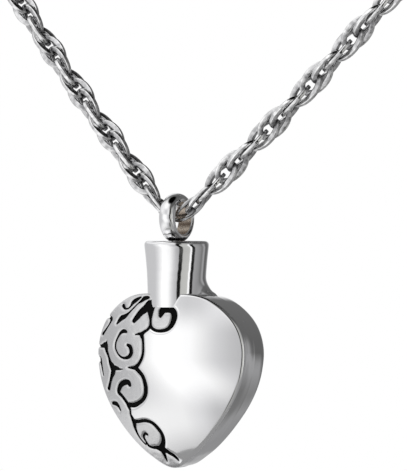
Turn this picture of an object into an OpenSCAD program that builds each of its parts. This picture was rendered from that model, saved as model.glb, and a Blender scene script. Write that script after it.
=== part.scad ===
// Heart keepsake urn pendant, hanging on a whole necklace of loose rope chain.
// Millimetres, +Z up, the heart's face towards -Y. The origin is where the necklace
// lies on the back of the neck, at the middle of the clasp.

/* [Heart] */
// Width of the heart across its widest place
heart_w = 19.1; // [15:0.1:26]
// Height of the heart from its tip to the crest of its lobes
heart_h = 19.5; // [15:0.1:26]
// Depth of the flat side wall in front of the middle plane
wall_front = 1.1; // [0.8:0.05:1.6]
// Depth of the flat side wall behind the middle plane, up to the crease
wall_back = 0.9; // [0.5:0.05:1.5]
// How far in from the outline the rounded rim of the face reaches
shoulder_in = 0.5; // [0.3:0.05:1]
// How far that rounded rim rises from the side wall
shoulder_up = 0.4; // [0.25:0.05:0.8]
// Rise of the domed face at its highest place
dome_rise = 2.4; // [1.6:0.05:2.8]
// Depth of the flat back behind the middle plane
back_depth = 3.8; // [2.8:0.05:4.6]
// How far the back edge lies inside the crease
back_taper = 0.15; // [0.05:0.05:0.6]
// Size of the rounding round the back
back_round = 0.45; // [0.2:0.05:0.9]
// Thickness of the heart's metal round the ash chamber
shell_t = 1.3; // [1:0.05:1.5]

/* [Neck and bore] */
// Diameter of the neck just under its rim
neck_top_d = 7.25; // [6.6:0.05:8.2]
// Diameter of the neck where it enters the heart
neck_base_d = 6.5; // [5.8:0.05:7]
// Height of the neck's top above the crest of the lobes
neck_rise = 5.9; // [5:0.1:8]
// How far the neck reaches into the heart below that crest
neck_foot = 1.5; // [1.4:0.1:3]
// Rounding of the neck's rim
rim_round = 0.45; // [0.2:0.05:0.5]
// Diameter over the threads of the plug
plug_d = 3.3; // [2.8:0.05:3.6]
// Length of the plug below its head
plug_len = 4; // [3:0.1:5]
// Diameter of the plug's flush head
head_d = 4.6; // [4.4:0.05:5]
// Thickness of the plug's flush head
head_t = 0.5; // [0.3:0.05:0.8]
// Clearance between the plug and the urn, each side
plug_clear = 0.05; // [0.03:0.01:0.1]

/* [Bail ring] */
// Outer diameter of the bail ring
bail_od = 5.6; // [5.4:0.05:6.4]
// Thickness of the bail ring from hole to outside
bail_wall = 0.9; // [0.6:0.05:1]
// Width of the ring's band along the chain
bail_band = 1.65; // [1.2:0.05:1.9]
// How deep the ring is set into the plug's head
bail_sunk = 0.25; // [0.15:0.05:0.4]

/* [Scrollwork] */
// Width of an ordinary line of the recessed ground
line_w = 0.36; // [0.25:0.01:0.42]
// Depth of the recessed ground below the polished bands
ground_depth = 0.38; // [0.25:0.01:0.45]
// Thickness of the black enamel that lies in the ground
enamel_t = 0.14; // [0.1:0.01:0.18]
// Clearance round the enamel
enamel_gap = 0.04; // [0.03:0.01:0.05]

/* [Chain and clasp] */
// Thickness of the chain over its links
chain_d = 2.9; // [2.4:0.05:3.2]
// Thickness of the chain where it passes through the bail
chain_pass_d = 2.4; // [2:0.05:2.6]
// Gap between the top of the bail's hole and the chain
hang_gap = 0.15; // [0.1:0.01:0.2]
// Diameter of the closed barrel clasp
clasp_d = 4.2; // [3.4:0.1:6]
// Length of the closed barrel clasp
clasp_len = 14; // [10:0.5:20]
// Gap between each end of the chain and the clasp
clasp_gap = 0.15; // [0.1:0.05:0.3]

/* [Hidden] */
$fn = 64;

// The chain's way from the bail round one side of the neck: x, y, z from the bail. It ends at
// the clasp, at the nape. The other side is its mirror image.
ROUTE = [
    [0, 0, 0], [1.6, 0.1, 0.35], [4.4, 0.7, 3.1], [9, 1.9, 7.8], [13.3, 3, 12.2],
    [21.5, 5.2, 21.2], [30, 7.6, 31], [38.5, 10.5, 41], [46.5, 14.5, 51],
    [53.5, 20, 61], [59.2, 28, 70.5], [63.5, 39, 79], [66.2, 52, 86.5], [67.3, 66, 93],
    [65.8, 81, 99], [61.6, 95.2, 104], [54.4, 108.4, 108], [45, 118.8, 111],
    [34.5, 126.2, 113], [22.5, 131.2, 114.4], [clasp_len / 2 + clasp_gap, 133, 115]
];
NAPE = ROUTE[len(ROUTE) - 1];
chain_sides = 10;

// Outline of the heart seen from the front: its radius from the heart's middle as a share of
// half its width, every 15 degrees from straight up to the tip.
OUTLINE = [0.82, 0.92, 0.99, 1.03, 1.055, 1.037, 0.985, 0.943, 0.911, 0.907, 0.948, 1.034, 1.152];
outline_step = 15;
tip_share = OUTLINE[12];
// Height of the dome's highest place, and how far above and below it the dome sinks to nothing,
// as shares of the heart's height.
DOME_SHARES = [0.6, 0.64];
segments = 72;
segment_turns = [for (k = [0:segments - 1]) k * 360 / segments];
// How far the outline's points reach to the side and, from the tip, up, in radius shares.
widest_share = max([for (a = segment_turns) outline_share(a) * sin(a)]);
height_share = tip_share + max([for (a = segment_turns) outline_share(a) * cos(a)]);

half_w = heart_w / 2;
// Millimetres for one radius share, across and up.
share_mm = [half_w / widest_share, heart_h / height_share];
mid_z = share_mm.y * tip_share;
// The neck's cuts reach this far over its top.
through = 1;
neck_top_z = heart_h + neck_rise;
neck_r = neck_top_d / 2;
bore_r = plug_d / 2 + plug_clear;
bail_r = bail_od / 2;
hole_r = bail_r - bail_wall;
bail_z = neck_top_z + bail_r - bail_sunk;
hang_z = bail_z + hole_r - hang_gap - chain_pass_d / 2;

// The pendant is drawn with its tip at zero and hung where the chain passes through its bail.
bail_place = [0, -NAPE.y, -NAPE.z];
pendant_place = bail_place - [0, 0, hang_z];

// Scrollwork: each line of recessed ground is a row of stations, x and z in twentieths of the
// heart's width and height on the unrolled face, and the line's width in ordinary lines.
hook_outer = [
    [-0.2, 18.5, 1.6], [0.8, 18.5, 2], [1.5, 18.1, 1.8], [1.8, 17.4, 1.6], [1.6, 16.6, 1.5],
    [1, 15.8, 1.2], [0.1, 15.5, 1], [-0.9, 15.7, 0.9], [-1.5, 16.1, 1.1]
];
hook_inner = [[-0.2, 18.5, 1.5], [-0.3, 17.9, 1.3], [-0.3, 17.2, 1.1]];
hook_left = [[-1.4, 19.3, 1.4], [-1.5, 18.6, 1.9], [-1.6, 17.7, 1.6], [-1.6, 17, 0.9], [-1.5, 16.1, 1.1]];
face_edge_upper = [
    [-1.5, 16.1, 1.1], [-2, 15.7, 0.8], [-2.7, 15.3, 0.9], [-2.6, 14.6, 1], [-2.4, 13.7, 1],
    [-2.4, 12.8, 0.9], [-2.8, 12, 1], [-3.2, 11.3, 1.6]
];
face_edge_lower = [
    [-3.2, 11.3, 1.6], [-2.5, 10.4, 1.1], [-2, 9.5, 1.1], [-2, 8.8, 1.2], [-2.3, 7.9, 1.2],
    [-3.1, 7.2, 1.4], [-4.2, 7, 1.5], [-4.9, 7.1, 1.2]
];
between_scrolls = [[-3.2, 11.3, 1.6], [-3.9, 11.3, 0.7], [-4.7, 11.4, 0.3]];
scroll_1_curl = [
    [-4.7, 14.1, 1.2], [-4.3, 13.5, 1.3], [-4.6, 12.9, 1.1], [-5.4, 12.6, 0.9], [-6.3, 13, 0.8],
    [-6.9, 13.8, 0.7], [-6.8, 14.7, 0.7], [-6.1, 15.4, 0.8], [-5.5, 15.7, 1.1]
];
scroll_2_curl = [
    [-4.5, 9.5, 1.1], [-4.9, 9.9, 1.4], [-5.7, 9.7, 1.4], [-6.4, 9, 1.3], [-6.1, 8.5, 0.9],
    [-5.5, 7.7, 0.7], [-4.9, 7, 1.2]
];
spine = [
    [-4.9, 7.1, 1.2], [-4.8, 6.4, 1], [-4.6, 5.8, 1.1], [-4.3, 5, 1.2], [-4.3, 4.3, 0.9],
    [-4, 3.5, 0.7], [-3.4, 2.8, 0.7], [-2.7, 2.2, 1]
];
scroll_3_edge = [
    [-4.3, 5.2, 1.1], [-3.1, 5.4, 0.8], [-2.1, 5.3, 1], [-1.4, 4.8, 1.1], [-0.7, 4, 1.1],
    [-0.5, 3.2, 1.2], [-0.8, 2.5, 1.5], [-1.3, 2.1, 1.9]
];
scroll_3_curl = [
    [-2.6, 3.7, 0.7], [-2.9, 3.9, 0.9], [-3.3, 3.5, 0.9], [-3.2, 3, 0.7], [-2.9, 2.5, 0.7],
    [-2.4, 2.2, 1], [-1.8, 2.2, 1.2]
];
tail_upper = [[-1.3, 2.1, 1.9], [-0.7, 1.7, 1.6], [0, 1.3, 1.2], [0.6, 1, 0.8], [0.9, 0.7, 0.4]];
tail_lower = [[-1.3, 1.9, 1.4], [-0.9, 1.3, 1.1], [-0.7, 0.6, 0.3]];
hook_2_curl = [[-3.9, 16.8, 1.2], [-3.5, 17.1, 1.1], [-2.8, 17.7, 1.4], [-2.1, 18.3, 1.8], [-1.6, 18.8, 1.9]];
band_line = [
    [-6.6, 16.5, 0.5], [-6.2, 17, 1.7], [-5.5, 17.4, 1.4], [-4.6, 18, 0.6], [-3.5, 18.8, 0.6],
    [-2.7, 19.3, 0.9]
];
upper_curl = [[-5.9, 18.6, 1.1], [-5.6, 18.3, 0.7], [-4.9, 18.4, 0.6], [-4.2, 18.9, 1.1], [-3.9, 19.3, 1.2]];
left_upper_curl = [[-8.4, 17.2, 0.8], [-7.7, 17.1, 1], [-7.9, 16.7, 0.6], [-8.6, 15.9, 0.6], [-9.2, 15.3, 0.8]];
left_wedge = [
    [-8.4, 14.6, 0.4], [-8.4, 14.1, 1.5], [-8.2, 13.3, 1.1], [-7.7, 12.3, 0.7], [-7.2, 11.6, 1.8],
    [-7.1, 11, 1.6], [-7.4, 10.4, 0.9], [-7.6, 9.8, 0.8], [-8.1, 8.9, 0.9]
];
left_curl = [[-10, 12.8, 0.7], [-9.6, 12.4, 1.1], [-9.3, 11.9, 0.6], [-9.1, 11.2, 0.7], [-8.9, 10.4, 0.4]];
lower_left_curl = [[-6.2, 6.5, 0.4], [-6.4, 6.9, 0.6], [-6.8, 7.3, 1.1], [-7.4, 7.4, 0.8]];
LINES = [
    hook_outer, hook_inner, hook_left, face_edge_upper, face_edge_lower, between_scrolls,
    scroll_1_curl, scroll_2_curl, spine, scroll_3_edge, scroll_3_curl, tail_upper, tail_lower,
    hook_2_curl, band_line, upper_curl, left_upper_curl, left_wedge, left_curl, lower_left_curl
];
steps_per_station = 2;
// Steps at each end of a line that its enamel leaves free.
enamel_skip = 1;
// Each line is cut a hair deeper than the last, so that no two floors lie in one another.
floor_step = 0.008;
// The cuts start this far above the polished face.
cut_over = 0.4;
narrowest_half = 0.03;

function spline(a, b, c, d, t) =
    0.5 * (2 * b + (c - a) * t + (2 * a - 5 * b + 4 * c - d) * t * t + (3 * b - a - 3 * c + d) * t * t * t);

// One point of a smooth curve through a list, at a place counted in stations.
function on_curve(list, place) =
    let (last = len(list) - 1, i = min(floor(place), last - 1), t = place - i)
    spline(list[max(i - 1, 0)], list[i], list[i + 1], list[min(i + 2, last)], t);

// Radius share of the outline at any angle from straight up; the two halves mirror each other.
function outline_share(angle) =
    let (
        turn = abs((angle + 540) % 360 - 180) / outline_step,
        i = min(floor(turn), 11),
        t = turn - i,
        before = i == 0 ? OUTLINE[1] : OUTLINE[i - 1],
        after = i == 11 ? OUTLINE[11] : OUTLINE[i + 2]
    )
    spline(before, OUTLINE[i], OUTLINE[i + 1], after, t);

// Millimetres for one unit of radius share along a ray from the heart's middle.
function ray_length(angle) = norm([share_mm.x * sin(angle), share_mm.y * cos(angle)]);
function ray_point(angle, share) =
    [share_mm.x * share * sin(angle), mid_z + share_mm.y * share * cos(angle)];

function dome(p) =
    let (up = (p.y - DOME_SHARES[0] * heart_h) / (DOME_SHARES[1] * heart_h))
    dome_rise * (1 - pow(p.x / half_w, 2) - up * up);

// Points of one ring round the heart, a distance in from the outline, at a depth that may
// follow the domed face.
function ring(inset, y, domed, count) = [
    for (k = [0:count - 1])
    let (a = k * 360 / count, p = ray_point(a, outline_share(a) - inset / ray_length(a)))
    [p.x, y - (domed ? dome(p) : 0), p.y]
];
function face_ring(part, y, count) = [
    for (k = [0:count - 1])
    let (
        a = k * 360 / count,
        p = ray_point(a, part * (outline_share(a) - shoulder_in / ray_length(a)))
    )
    [p.x, y - dome(p), p.y]
];

// Closed solid through rings of equal count, from the front to the back.
module loft(rings) {
    count = len(rings[0]);
    last = len(rings) - 1;
    polyhedron(
        points = [for (r = rings) each r],
        faces = concat(
            [[for (k = [0:count - 1]) k]],
            [for (i = [0:last - 1], k = [0:count - 1]) each [
                [i * count + k, (i + 1) * count + k, (i + 1) * count + (k + 1) % count],
                [i * count + k, (i + 1) * count + (k + 1) % count, i * count + (k + 1) % count]
            ]],
            [[for (k = [count - 1:-1:0]) last * count + k]]
        )
    );
}

// The heart's outer form without its neck.
module heart_form() {
    face_y = -wall_front - shoulder_up;
    loft(concat(
        [for (part = [0.04, 0.28, 0.52, 0.76]) face_ring(part, face_y, segments)],
        [for (turn = [0, 25, 50, 70, 90])
            ring(shoulder_in * (1 - sin(turn)), -wall_front - shoulder_up * cos(turn), true, segments)],
        [ring(0, wall_back, false, segments)],
        [for (turn = [0, 45, 90])
            ring(back_taper + back_round * (1 - cos(turn)), back_depth - back_round * (1 - sin(turn)),
                false, segments)]
    ));
}

// The room for ashes, a shell's thickness inside the outer form.
module ash_chamber() {
    face_y = -wall_front - shoulder_up + shell_t;
    count = segments / 2;
    loft([
        face_ring(0.05, face_y, count), face_ring(0.45, face_y, count),
        ring(shoulder_in + shell_t, face_y, true, count),
        ring(shell_t, -wall_front + shell_t / 3, false, count),
        ring(shell_t, wall_back, false, count),
        ring(shell_t + back_taper, back_depth - shell_t, false, count)
    ]);
}

// The length of the shoulder's rounding from the face down to an angle, as an even quarter of
// an ellipse is long.
shoulder_len = PI / 2 * sqrt((shoulder_in * shoulder_in + shoulder_up * shoulder_up) / 2);

// Where a point of the unrolled face lies on the heart.
function rolled(u) =
    let (
        unit = [u.x / share_mm.x, (u.y - mid_z) / share_mm.y],
        angle = atan2(unit.x, unit.y),
        length = ray_length(angle),
        edge = outline_share(angle) - shoulder_in / length,
        over = (norm(unit) - edge) * length,
        turn = 90 * min(max(over, 0) / shoulder_len, 1),
        share = over <= 0 ? norm(unit) : edge + shoulder_in * sin(turn) / length,
        p = ray_point(angle, share)
    )
    [p.x, -wall_front - shoulder_up * cos(turn) - dome(p) + max(over - shoulder_len, 0), p.y];

function face_normal(u) =
    let (
        e = 0.05,
        across = rolled(u + [e, 0]) - rolled(u - [e, 0]),
        up = rolled(u + [0, e]) - rolled(u - [0, e]),
        n = cross(across, up)
    )
    n / norm(n);

// A bar that follows one line of the ground, between two heights over the polished face.
// It is narrower than the line by twice the margin, and leaves some steps free at each end.
module ground_bar(line, low, high, margin, skip) {
    last = len(line) - 1;
    steps = last * steps_per_station;
    unit = [heart_w / 20, heart_h / 20];
    sections = [
        for (k = [skip:steps - skip])
        let (
            place = k / steps_per_station,
            s = on_curve(line, place),
            ahead = on_curve(line, min(place + 0.05, last)),
            behind = on_curve(line, max(place - 0.05, 0)),
            d = [(ahead - behind).x * unit.x, (ahead - behind).y * unit.y],
            side = [-d.y, d.x] / norm(d) * max(s.z * line_w / 2 - margin, narrowest_half),
            at = [s.x * unit.x, s.y * unit.y],
            a = at + side,
            b = at - side
        )
        [
            rolled(b) + face_normal(b) * high, rolled(b) + face_normal(b) * low,
            rolled(a) + face_normal(a) * low, rolled(a) + face_normal(a) * high
        ]
    ];
    loft(sections);
}

// The neck's outer form, from inside the heart up to its rounded rim.
module neck_form() {
    foot_z = heart_h - neck_foot;
    rotate_extrude() polygon(concat(
        [[0, foot_z], [neck_base_d / 2, foot_z], [neck_base_d / 2, heart_h],
            [neck_r, neck_top_z - rim_round]],
        [for (turn = [30, 60, 90])
            [neck_r - rim_round * (1 - cos(turn)), neck_top_z - rim_round * (1 - sin(turn))]],
        [[0, neck_top_z]]
    ));
}

// The heart with its recessed ground. The resizing keeps its named width and height exact.
module relief_form() {
    resize([heart_w, 0, heart_h]) difference() {
        heart_form();
        for (k = [0:len(LINES) - 1]) ground_bar(LINES[k], -ground_depth - floor_step * k, cut_over, 0, 0);
    }
}

module heart_urn() {
    seat_z = neck_top_z - head_t - plug_clear;
    color([0.8, 0.81, 0.83]) translate(pendant_place)
    difference() {
        union() {
            relief_form();
            neck_form();
        }
        ash_chamber();
        translate([0, 0, mid_z]) cylinder(r = bore_r, h = neck_top_z - mid_z + through);
        translate([0, 0, seat_z]) cylinder(r = head_d / 2 + plug_clear, h = head_t + through);
    }
}

// The enamel lies on the floor of each line and stops short of the line that it meets, and
// of the neck.
module scroll_enamel() {
    floor_z = -ground_depth + enamel_gap;
    color([0.07, 0.07, 0.08]) translate(pendant_place)
    difference() {
        for (line = LINES) ground_bar(line, floor_z, floor_z + enamel_t, enamel_gap, enamel_skip);
        translate([0, 0, heart_h - neck_foot - enamel_gap])
        cylinder(r = neck_base_d / 2 + enamel_gap, h = neck_foot);
    }
}

// The ring's band is flat inside, with broken edges, and crowned outside.
module bail_ring() {
    half_band = bail_band / 2;
    edge = 0.12;
    crown = bail_wall * 0.62;
    rotate([0, 90, 0]) rotate_extrude() polygon(concat(
        [[hole_r, -half_band + edge], [hole_r, half_band - edge], [hole_r + edge, half_band]],
        [for (turn = [0:15:180])
            [bail_r - crown * (1 - sin(turn)), half_band * cos(turn)]],
        [[hole_r + edge, -half_band]]
    ));
}

// The ring, the plug's flush head and the plug are soldered to one piece.
module bail_screw() {
    head_z = neck_top_z - head_t;
    color([0.76, 0.77, 0.79]) translate(pendant_place) union() {
        translate([0, 0, bail_z]) bail_ring();
        translate([0, 0, head_z]) cylinder(d = head_d, h = head_t);
        translate([0, 0, head_z - plug_len]) cylinder(d = plug_d, h = plug_len + head_t / 2);
    }
}

// Thickness of the chain along its way: slimmer where it passes through the bail.
function chain_width(distance) =
    let (t = min(max((distance - bail_band) / chain_d, 0), 1))
    chain_pass_d + (chain_d - chain_pass_d) * t;

// The chain's place as a smooth tube. Its links interlock too finely to be solids here.
module chain() {
    last = len(ROUTE) - 1;
    stations = concat([for (k = [last:-1:1]) [-ROUTE[k].x, ROUTE[k].y, ROUTE[k].z]], ROUTE);
    way = [for (k = [0:4 * last]) on_curve(stations, k / 2)];
    color([0.7, 0.71, 0.73]) translate(bail_place)
    loft([
        for (k = [0:4 * last])
        let (
            at_end = k == 0 || k == 4 * last,
            along = at_end ? [-1, 0, 0] : way[k + 1] - way[k - 1],
            t = along / norm(along),
            out = cross(t, [0, 0.75, -0.66]),
            u = out / norm(out),
            v = cross(t, u),
            r = chain_width(norm(way[k])) / 2
        )
        [for (s = [0:chain_sides - 1])
            way[k] - r * (cos(360 * s / chain_sides) * u + sin(360 * s / chain_sides) * v)]
    ]);
}

// A plain closed barrel with tapered ends.
module clasp() {
    r = clasp_d / 2;
    half = clasp_len / 2;
    taper = r * 0.5;
    end_r = r * 0.7;
    color([0.74, 0.75, 0.77]) rotate([0, 90, 0]) rotate_extrude() polygon([
        [0, -half], [end_r, -half], [r, taper - half], [r, half - taper], [end_r, half], [0, half]
    ]);
}

chain();
clasp();
bail_screw();
heart_urn();
scroll_enamel();
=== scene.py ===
# %% [markdown]
# A keepsake pendant: a hollow heart of polished steel with a round neck, a ring that screws
# into the neck, and a rope chain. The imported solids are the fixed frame. Every piece made
# here is placed by them, so nothing has to be fitted by eye.

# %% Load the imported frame
import bpy
import bmesh
import math
import numpy as np
from mathutils import Matrix, Vector


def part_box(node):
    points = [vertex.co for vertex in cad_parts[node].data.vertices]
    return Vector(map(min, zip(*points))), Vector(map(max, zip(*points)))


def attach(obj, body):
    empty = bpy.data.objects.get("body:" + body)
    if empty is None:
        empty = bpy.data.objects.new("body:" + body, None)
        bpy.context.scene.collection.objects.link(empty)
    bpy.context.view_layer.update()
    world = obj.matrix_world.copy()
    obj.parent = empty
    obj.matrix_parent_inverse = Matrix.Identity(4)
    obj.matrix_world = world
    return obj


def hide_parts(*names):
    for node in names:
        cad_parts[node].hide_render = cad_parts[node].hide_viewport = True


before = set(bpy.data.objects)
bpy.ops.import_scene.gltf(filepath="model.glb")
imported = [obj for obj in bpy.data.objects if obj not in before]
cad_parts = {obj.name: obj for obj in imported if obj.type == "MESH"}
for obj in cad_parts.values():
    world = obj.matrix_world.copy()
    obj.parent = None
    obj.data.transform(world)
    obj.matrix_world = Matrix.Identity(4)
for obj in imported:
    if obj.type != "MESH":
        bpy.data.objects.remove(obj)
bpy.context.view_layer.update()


MM = 0.001
# The clasp at the nape is the origin. The pendant hangs this far in front of it, in millimetres.
NAPE_Y = 133.0
HANG_Y = -NAPE_Y * MM
tip_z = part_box("heart_urn")[0].z
# The pendant is modelled in millimetres with its tip at zero, then put in its place.
PENDANT_PLACE = Vector((0.0, HANG_Y, tip_z))

# %% [markdown]
# The photograph was taken with a long lens, a little from the heart's left, so the side wall
# shows on the right. A real camera is matched in two steps: the direction from the widths of
# round and flat parts, then the lens from the size of the heart in the picture.

# %% Camera
VIEW_TURN = math.radians(30)
# Height and sideways shift of the picture's middle, and the picture's distance and height.
LOOK_Z, LOOK_ASIDE = -0.1175, 0.003
DISTANCE, PICTURE_HEIGHT = 0.45, 0.05275
SENSOR = 36
VIEW_RIGHT = Vector((math.cos(VIEW_TURN), math.sin(VIEW_TURN), 0))
VIEW_BACK = Vector((math.sin(VIEW_TURN), -math.cos(VIEW_TURN), 0))
look_at = Vector((0, HANG_Y, LOOK_Z)) + LOOK_ASIDE * VIEW_RIGHT
camera_data = bpy.data.cameras.new("camera")
camera_data.sensor_width = SENSOR
camera_data.lens = SENSOR * DISTANCE / PICTURE_HEIGHT
camera_data.clip_start = 0.01
camera_data.clip_end = 10
camera = bpy.data.objects.new("camera", camera_data)
bpy.context.scene.collection.objects.link(camera)
camera.matrix_world = (
    Matrix.Translation(look_at + DISTANCE * VIEW_BACK)
    @ Matrix((VIEW_RIGHT, (0, 0, 1), VIEW_BACK)).transposed().to_4x4()
)
bpy.context.scene.camera = camera
print("lens", round(camera_data.lens, 1), "mm")

# %% [markdown]
# Polished steel has no colour of its own: it shows the studio. The bands of light grey, white,
# black and dark grey on the round neck tell where the white cards and the dark room stood.
# So the world is drawn by compass direction round the camera's view, from black lens and
# white cards to the dark side, and the camera itself sees the white paper.

# %% World
# Light by compass direction round the view, in degrees to the right of the camera, for level
# reflections, for those that look up or down at about twenty-two degrees, and for steep ones.
LEVEL = [
    (-180, 0.7), (-150, 0.58), (-98, 0.6), (-86, 0.72), (-72, 0.95), (-62, 1.15), (-38, 1.05),
    (-31, 0.9), (-22, 0.7), (-13, 0.57), (-5, 0.5), (-3, 0.01), (9, 0.01), (11, 0.52), (37, 0.56),
    (41, 1.1), (46, 1.1), (48, 0.01), (59, 0.01), (62, 0.36), (86, 0.28), (100, 0.18), (111, 0.36),
    (117, 0.34), (121, 0.2), (125, 0.12), (136, 0.13), (152, 0.25), (180, 1.0),
]
UPWARD = [
    (-180, 0.85), (-120, 0.85), (-90, 0.95), (-66, 0.8), (-44, 0.66), (-34, 0.7), (-24, 0.84),
    (-9, 0.9), (-5, 0.5), (-1, 0.02), (15, 0.02), (21, 0.5), (50, 0.36), (70, 0.14), (100, 0.12),
    (130, 0.13), (168, 0.15), (176, 0.5), (180, 0.85),
]
DOWNWARD = [
    (-180, 0.85), (-110, 0.85), (-80, 0.95), (-48, 0.92), (-34, 0.76), (-24, 0.56), (-8, 0.46),
    (-3, 0.1), (9, 0.1), (14, 0.38), (50, 0.32), (90, 0.26), (118, 0.3), (126, 0.16), (138, 0.19),
    (146, 0.31), (154, 0.28), (163, 0.3), (180, 0.9),
]
OVERHEAD = [
    (-180, 0.15), (-150, 0.2), (-110, 0.9), (-60, 1.2), (-20, 0.8), (0, 0.1), (40, 0.1),
    (140, 0.1), (180, 0.15),
]
BELOW = [(-180, 0.6), (-60, 0.5), (0, 0.45), (90, 0.28), (140, 0.3), (180, 0.5)]
# Where one list gives way to the next, as the sine of the angle at which a reflection looks up
# or down.
TO_UPWARD, TO_OVERHEAD, TO_DARK = (0.16, 0.36), (0.5, 0.75), (0.86, 0.95)
TO_DOWNWARD, TO_BELOW = (0.14, 0.46), (0.5, 0.78)
# The greys right of the view are a trace warm, and the other middle greys a trace cool.
WARM_GREY, WARM_TURNS = (1.0, 1.0, 0.96), (-5, 40)
COOL_GREY, COOL_LIGHTS = (0.985, 0.985, 1.0), (0.2, 0.9)
# The cards are lit more strongly than the paper that the camera sees.
CARD_LIGHT = 1.6
# Lower reflections see the same cards a little further to the right, which slants their edges.
SLANT = 0.17


def world_nodes():
    world = bpy.data.worlds.new("studio")
    bpy.context.scene.world = world
    world.use_nodes = True
    tree = world.node_tree
    tree.nodes.clear()
    new, link = tree.nodes.new, tree.links.new
    place = new("ShaderNodeTexCoord")

    def math_node(kind, a, b):
        node = new("ShaderNodeMath")
        node.operation = kind
        for socket, value in zip(node.inputs, (a, b)):
            if isinstance(value, (int, float)):
                socket.default_value = value
            else:
                link(value, socket)
        return node.outputs[0]

    def along(axis):
        node = new("ShaderNodeVectorMath")
        node.operation = "DOT_PRODUCT"
        link(place.outputs["Generated"], node.inputs[0])
        node.inputs[1].default_value = axis
        return node.outputs["Value"]

    def ramp(stops, value):
        node = new("ShaderNodeValToRGB")
        marks = node.color_ramp.elements
        while len(marks) < len(stops):
            marks.new(0.5)
        for mark, (turn, light) in zip(marks, stops):
            mark.position = (turn + 180) / 360
            tint = (1, 1, 1)
            if WARM_TURNS[0] < turn < WARM_TURNS[1]:
                tint = WARM_GREY
            elif COOL_LIGHTS[0] < light < COOL_LIGHTS[1]:
                tint = COOL_GREY
            mark.color = (*[light * t / CARD_LIGHT for t in tint], 1)
        link(value, node.inputs[0])
        return node.outputs[0]

    def between(value, low, high):
        node = new("ShaderNodeMapRange")
        node.interpolation_type = "SMOOTHSTEP"
        node.inputs["From Min"].default_value = low
        node.inputs["From Max"].default_value = high
        link(value, node.inputs["Value"])
        return node.outputs["Result"]

    def mix(factor, a, b):
        node = new("ShaderNodeMix")
        node.data_type = "RGBA"
        link(factor, node.inputs[0])
        for socket, value in ((node.inputs[6], a), (node.inputs[7], b)):
            if isinstance(value, tuple):
                socket.default_value = value
            else:
                link(value, socket)
        return node.outputs[2]

    right, back, up = along(VIEW_RIGHT), along(VIEW_BACK), along((0, 0, 1))
    compass = math_node("ARCTAN2", right, back)
    turn = math_node("ADD", math_node("DIVIDE", compass, 2 * math.pi), 0.5)
    slanted = math_node("ADD", turn, math_node("MULTIPLY", math_node("MINIMUM", up, 0.0), SLANT))
    light = mix(between(up, *TO_UPWARD), ramp(LEVEL, slanted), ramp(UPWARD, turn))
    light = mix(between(up, *TO_OVERHEAD), light, ramp(OVERHEAD, turn))
    light = mix(between(up, *TO_DARK), light, (0, 0, 0, 1))
    down = math_node("MULTIPLY", up, -1)
    light = mix(between(down, *TO_DOWNWARD), light, ramp(DOWNWARD, turn))
    light = mix(between(down, *TO_BELOW), light, ramp(BELOW, turn))
    path = new("ShaderNodeLightPath")
    paper = 1 / CARD_LIGHT
    seen = mix(path.outputs["Is Camera Ray"], light, (paper, paper, paper, 1))
    background = new("ShaderNodeBackground")
    background.inputs["Strength"].default_value = CARD_LIGHT
    link(seen, background.inputs["Color"])
    link(background.outputs[0], new("ShaderNodeOutputWorld").inputs[0])


world_nodes()
bpy.context.scene.view_settings.view_transform = "Standard"
print("studio of", len(LEVEL), "steps of light round the view")

# %% [markdown]
# A white tabletop lies well below the hanging pendant. It only sends light up from below, as
# the paper sweep in the studio did.

# %% Floor
FLOOR_R, FLOOR_Z = 0.3, -0.42
bm = bmesh.new()
bmesh.ops.create_circle(bm, cap_ends=True, segments=48, radius=FLOOR_R)
bmesh.ops.translate(bm, verts=bm.verts, vec=(0, HANG_Y, FLOOR_Z))
floor_mesh = bpy.data.meshes.new("floor")
bm.to_mesh(floor_mesh)
bm.free()
floor = bpy.data.objects.new("floor", floor_mesh)
bpy.context.scene.collection.objects.link(floor)

# %% [markdown]
# Six finishes: mirror steel with a trace of polishing haze, the duller worked steel between
# the ornament's lines, the chain's less even wire with painted shade deep in the rope, black
# enamel, a near-black painted shade and dark reflection at the ring's foot, and the inside of the
# ring with a painted reflection of soft beige streaks. Each is one principled shader whose noise
# works on Object coordinates, so that it stays put when the pendant swings.

# %% Materials


def finish(name, base, metallic, roughness, wave=0.0, wave_size=300.0, haze=0.02):
    """A principled material with uneven roughness and, where asked, a faint waviness."""
    material = bpy.data.materials.new(name)
    material.use_nodes = True
    tree = material.node_tree
    new, link = tree.nodes.new, tree.links.new
    shader = tree.nodes["Principled BSDF"]
    shader.inputs["Base Color"].default_value = (*base, 1)
    shader.inputs["Metallic"].default_value = metallic
    shader.inputs["Roughness"].default_value = roughness
    place = new("ShaderNodeTexCoord")
    cloud = new("ShaderNodeTexNoise")
    cloud.inputs["Scale"].default_value = wave_size
    cloud.inputs["Detail"].default_value = 2
    link(place.outputs["Object"], cloud.inputs["Vector"])
    spread = new("ShaderNodeMapRange")
    spread.inputs["To Min"].default_value = roughness - haze / 2
    spread.inputs["To Max"].default_value = roughness + haze
    link(cloud.outputs["Fac"], spread.inputs["Value"])
    link(spread.outputs["Result"], shader.inputs["Roughness"])
    if wave:
        bump = new("ShaderNodeBump")
        bump.inputs["Strength"].default_value = wave
        bump.inputs["Distance"].default_value = 0.0001
        link(cloud.outputs["Fac"], bump.inputs["Height"])
        link(bump.outputs["Normal"], shader.inputs["Normal"])
    return material


STEEL = finish("mirror steel", (0.93, 0.93, 0.935), 1.0, 0.06, wave=0.04, wave_size=350)
WORKED = finish("worked steel", (0.7, 0.7, 0.705), 1.0, 0.26, wave=0.35, wave_size=1500, haze=0.08)
WIRE = finish("chain wire", (0.93, 0.93, 0.94), 1.0, 0.08, wave=0.5, wave_size=1400, haze=0.04)
ENAMEL = finish("black enamel", (0.0015, 0.0015, 0.0017), 0.0, 0.42, wave_size=900, haze=0.1)
ENAMEL.node_tree.nodes["Principled BSDF"].inputs["Specular IOR Level"].default_value = 0.06

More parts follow.
